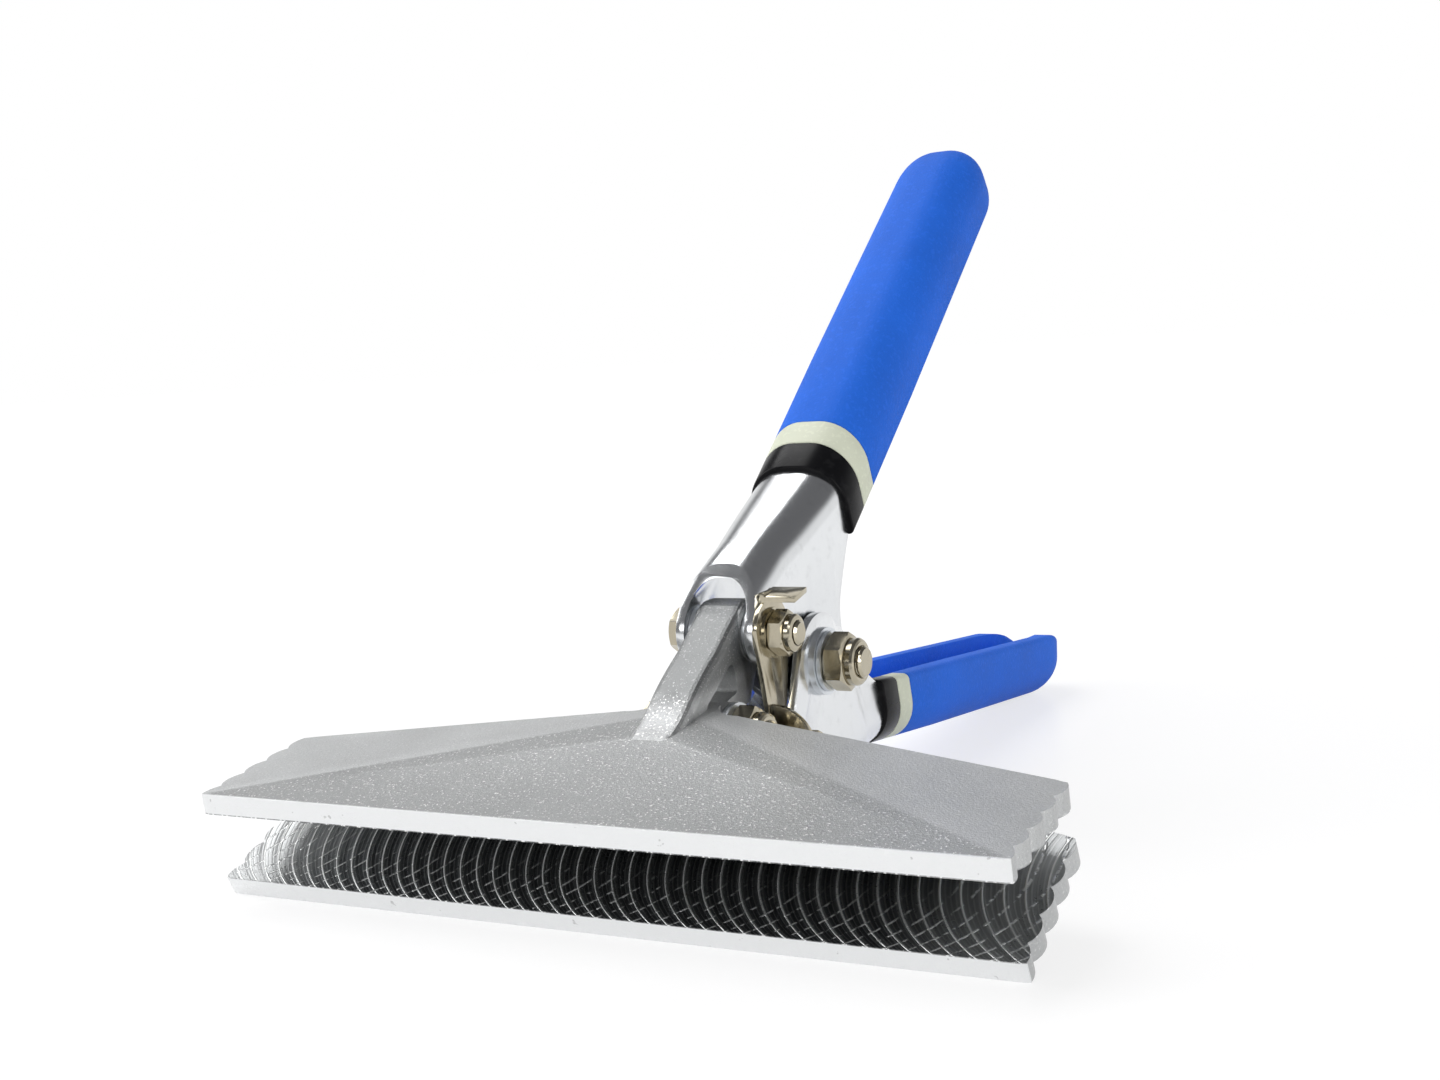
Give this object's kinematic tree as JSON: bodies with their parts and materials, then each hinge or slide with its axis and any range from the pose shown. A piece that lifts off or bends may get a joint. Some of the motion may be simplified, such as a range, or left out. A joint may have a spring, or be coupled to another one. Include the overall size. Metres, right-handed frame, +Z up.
{
  "type": "sheet metal hand seamer",
  "caption": "Wide-jaw hand seamer: two cast jaw plates on lapped lugs, opened and closed by crossed channel handles through compound links, with a spring, a latch and padded grips.",
  "frame": {"origin": "centre of the footprint at floor level, resting on the lower jaw's front edge and the lower grip", "axes": "+Y from the jaws back to the grips, +X across the jaws to the nut side, +Z up"},
  "size_m": [0.2, 0.293, 0.1791],
  "materials": {
    "cast_jaw": "shot-blasted and plated, light grey, fine sparkle",
    "chrome_channel": "bright chrome plate",
    "nickel": "bright nickel plate, warm tint",
    "zinc": "zinc plate",
    "nylon": "natural nylon",
    "spring_steel": "oiled spring steel",
    "black_collar": "smooth, glossy",
    "cream_band": "smooth, satin",
    "blue_sleeve": "fine soft-touch grain, matt"
  },
  "bodies": {
    "lower_jaw": {"lower_jaw": "cast_jaw", "jaw_pivot_bolt": "nickel", "jaw_pivot_washer": "zinc", "jaw_pivot_nut": "nickel", "jaw_pivot_lock_ring": "nylon", "lower_link_bolt": "nickel", "lower_link_spacer": "zinc", "lower_link_nut": "nickel", "lower_link_lock_ring": "nylon"},
    "upper_jaw": {"upper_jaw": "cast_jaw", "upper_link_bolt": "nickel", "upper_link_washer": "zinc", "upper_link_nut": "nickel", "upper_link_lock_ring": "nylon", "latch_washer": "nickel"},
    "latch": {"latch": "nickel"},
    "upper_handle": {"upper_handle": "chrome_channel", "upper_grip_collar": "black_collar", "upper_grip_band": "cream_band", "upper_grip_sleeve": "blue_sleeve"},
    "lower_handle": {"lower_handle": "chrome_channel", "handle_pivot_bolt": "nickel", "handle_pivot_washer": "zinc", "handle_pivot_nut": "nickel", "handle_pivot_lock_ring": "nylon", "spring_bush": "zinc", "opening_spring": "spring_steel", "lower_grip_collar": "black_collar", "lower_grip_band": "cream_band", "lower_grip_sleeve": "blue_sleeve"}
  },
  "joints": [
    {"name": "jaw_pivot", "type": "hinge", "parent": "lower_jaw", "child": "upper_jaw", "pos_m": [0, -0.08252, 0.03116], "axis": [1, 0, 0], "range_deg": [0, 15.5], "stiffness_Nm_per_rad": 2, "springref_deg": -22.92, "deforming": ["opening_spring"]},
    {"name": "upper_link_pivot", "type": "hinge", "parent": "upper_jaw", "child": "upper_handle", "pos_m": [0, -0.06621, 0.05331], "axis": [1, 0, 0], "range_deg": [-17.86, 0]},
    {"name": "lower_link_pivot", "type": "hinge", "parent": "lower_jaw", "child": "lower_handle", "pos_m": [0, -0.05667, 0.02176], "axis": [1, 0, 0], "range_deg": [0, 17.86]},
    {"name": "latch_pivot", "type": "hinge", "parent": "upper_jaw", "child": "latch", "pos_m": [0, -0.06621, 0.05331], "axis": [1, 0, 0], "range_deg": [-10, 0]}
  ],
  "couplings": [
    {"joint": "upper_link_pivot", "follows": "jaw_pivot", "ratio": -1.1524},
    {"joint": "lower_link_pivot", "follows": "jaw_pivot", "ratio": 1.1524}
  ]
}
